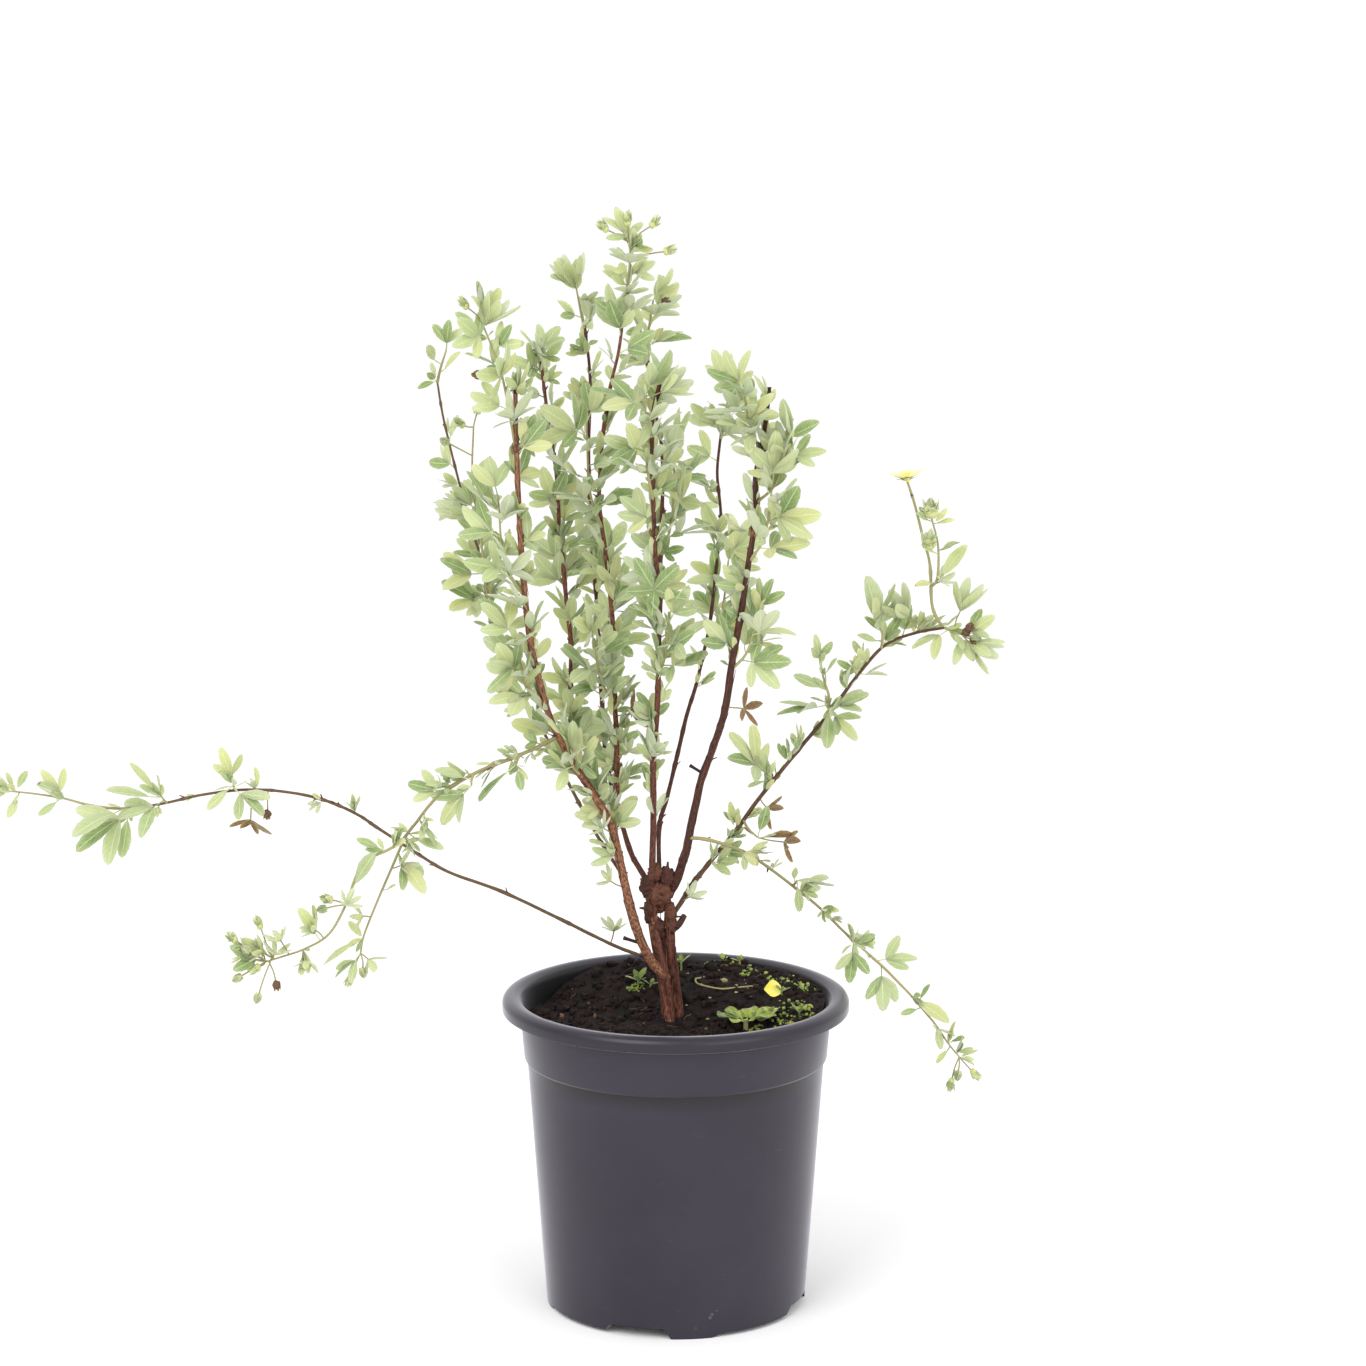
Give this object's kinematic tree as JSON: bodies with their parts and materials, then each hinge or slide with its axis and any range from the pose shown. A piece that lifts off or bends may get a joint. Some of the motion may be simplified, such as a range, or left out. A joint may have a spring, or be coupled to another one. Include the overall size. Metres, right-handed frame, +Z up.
{
  "type": "potted shrubby cinquefoil",
  "caption": "Young flowering shrub with thin arching stems and small divided leaves, growing in soil in a round plastic nursery pot that stands on its foot.",
  "frame": {"origin": "middle of the pot's foot, on the surface that it stands on", "axes": "+Z up along the pot's axis; -Y is the front, the side that the picture shows; the long arching stem reaches towards -X and the open flower stands towards +X"},
  "size_m": [0.5469, 0.19, 0.6007],
  "materials": {
    "pot_plastic": "satin moulded dark grey plastic, lightly scuffed, with specks of soil near the foot",
    "soil": "loose dark brown peat, rough and crumbly",
    "bark": "thin reddish brown bark, peeling in strips on the oldest wood",
    "foliage": "soft grey green leaves, paler below, yellow green at the young tips and brown at some edges",
    "petals": "soft yellow petals",
    "weed": "soft fresh green leaves"
  },
  "bodies": {
    "root": {"arching_leaves_inner": "foliage", "arching_leaves_middle": "foliage", "arching_left_stem": "bark", "arching_tip": "foliage", "back_left_leaves": "foliage", "back_left_leaves_low": "foliage", "back_left_stem": "bark", "back_left_tip": "foliage", "browned_leaves": "foliage", "crown": "bark", "drooping_leaves_middle": "foliage", "drooping_leaves_upper": "foliage", "drooping_left_stem": "bark", "drooping_tip_down": "foliage", "drooping_tip_left": "foliage", "fallen_petal": "petals", "flower_stalk": "foliage", "flower_stalk_shoot": "foliage", "left_tip": "foliage", "long_right_leaves_low": "foliage", "long_right_leaves_middle": "foliage", "long_right_leaves_upper": "foliage", "long_right_stem": "bark", "long_right_tip": "foliage", "middle_back_leaves": "foliage", "middle_back_stem": "bark", "middle_back_tip": "foliage", "middle_leaves_high": "foliage", "middle_leaves_low": "foliage", "middle_left_leaves_high": "foliage", "middle_left_leaves_low": "foliage", "middle_left_stem": "bark", "middle_left_tip": "foliage", "middle_stem": "bark", "open_flower": "petals", "outer_left_leaves_low": "foliage", "outer_left_leaves_middle": "foliage", "outer_left_leaves_upper": "foliage", "outer_left_stem": "bark", "outer_left_tip": "foliage", "pot": "pot_plastic", "right_leaves_high": "foliage", "right_leaves_low": "foliage", "right_leaves_middle": "foliage", "right_stem": "bark", "right_tip": "foliage", "second_left_leaves": "foliage", "second_left_stem": "bark", "second_left_tip": "foliage", "slender_leaves": "foliage", "slender_right_stem": "bark", "slender_tip": "foliage", "soil": "soil", "thin_left_leaves": "foliage", "thin_left_stem": "bark", "trailing_leaves_middle": "foliage", "trailing_leaves_upper": "foliage", "trailing_right_stem": "bark", "trailing_tip": "foliage", "weed_seedling": "weed"}
  },
  "joints": []
}
